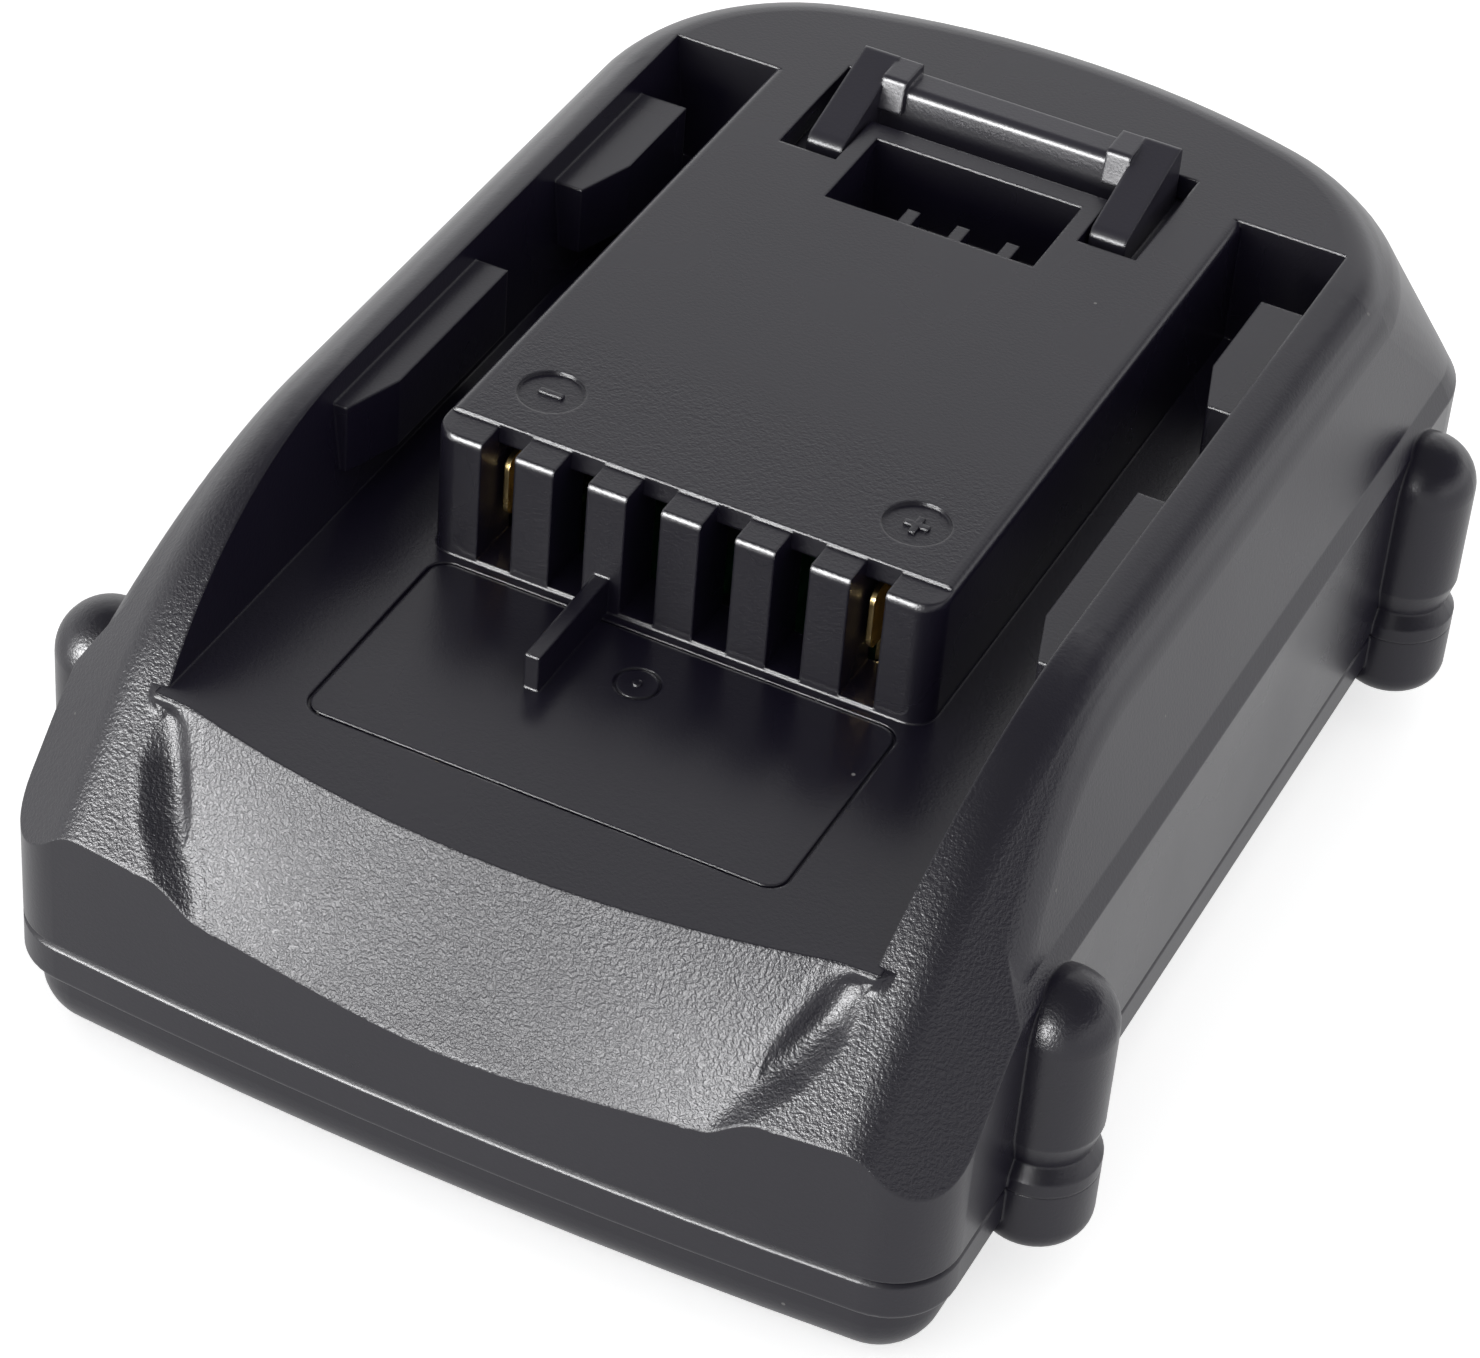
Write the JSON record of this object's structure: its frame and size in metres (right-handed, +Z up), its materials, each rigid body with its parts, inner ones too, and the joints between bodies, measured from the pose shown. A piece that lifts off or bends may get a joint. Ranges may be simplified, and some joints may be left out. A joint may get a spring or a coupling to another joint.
{
  "type": "power tool battery",
  "caption": "Slide-on cordless tool battery pack with terminal block, hook rails, spring latch and release button.",
  "frame": {"origin": "middle of the flat underside, under the middle of the pack's outline", "axes": "+Z up out of the deck, +Y towards the release button, +X to the right seen from the front"},
  "size_m": [0.0866, 0.1116, 0.0449],
  "materials": {
    "housing_plastic": "near-black ABS, satin sides and deck, spark-eroded grain on the front",
    "latch_plastic": "near-black acetal, satin",
    "inner_plastic": "black moulded plastic, plain",
    "cell_sleeve": "shrunk plastic sleeve, glossy",
    "nickel": "nickel strip, dull",
    "board_laminate": "green lacquered laminate",
    "chip_resin": "black moulding resin",
    "contact_brass": "rolled brass",
    "insulating_paper": "grey-white fish paper",
    "spring_steel": "spring wire",
    "screw_steel": "black zinc"
  },
  "bodies": {
    "pack": {"upper_shell": "housing_plastic", "lower_shell": "housing_plastic", "latch_retainer": "inner_plastic", "latch_spring_left": "spring_steel", "latch_spring_right": "spring_steel", "cell_holder_left": "inner_plastic", "cell_holder_right": "inner_plastic", "protection_board": "board_laminate", "board_components": "chip_resin", "contact_negative": "contact_brass", "contact_positive": "contact_brass", "insulator_sheet": "insulating_paper", "thermistor": "chip_resin", "case_screws": "screw_steel", "retainer_screws": "screw_steel", "cell_1": "cell_sleeve", "cell_2": "cell_sleeve", "cell_3": "cell_sleeve", "cell_4": "cell_sleeve", "cell_5": "cell_sleeve", "strip_negative": "nickel", "strip_cells_1_2": "nickel", "strip_cells_2_3": "nickel", "strip_cells_3_4": "nickel", "strip_cells_4_5": "nickel", "strip_positive": "nickel"},
    "latch": {"release_latch": "latch_plastic", "release_button": "latch_plastic"}
  },
  "joints": [
    {"name": "latch_press", "type": "slide", "parent": "pack", "child": "latch", "axis": [0, 0, -1], "range_m": [0, 0.0034], "stiffness_N_per_m": 2000, "springref_m": -0.003, "deforming": ["latch_spring_left", "latch_spring_right"]}
  ]
}
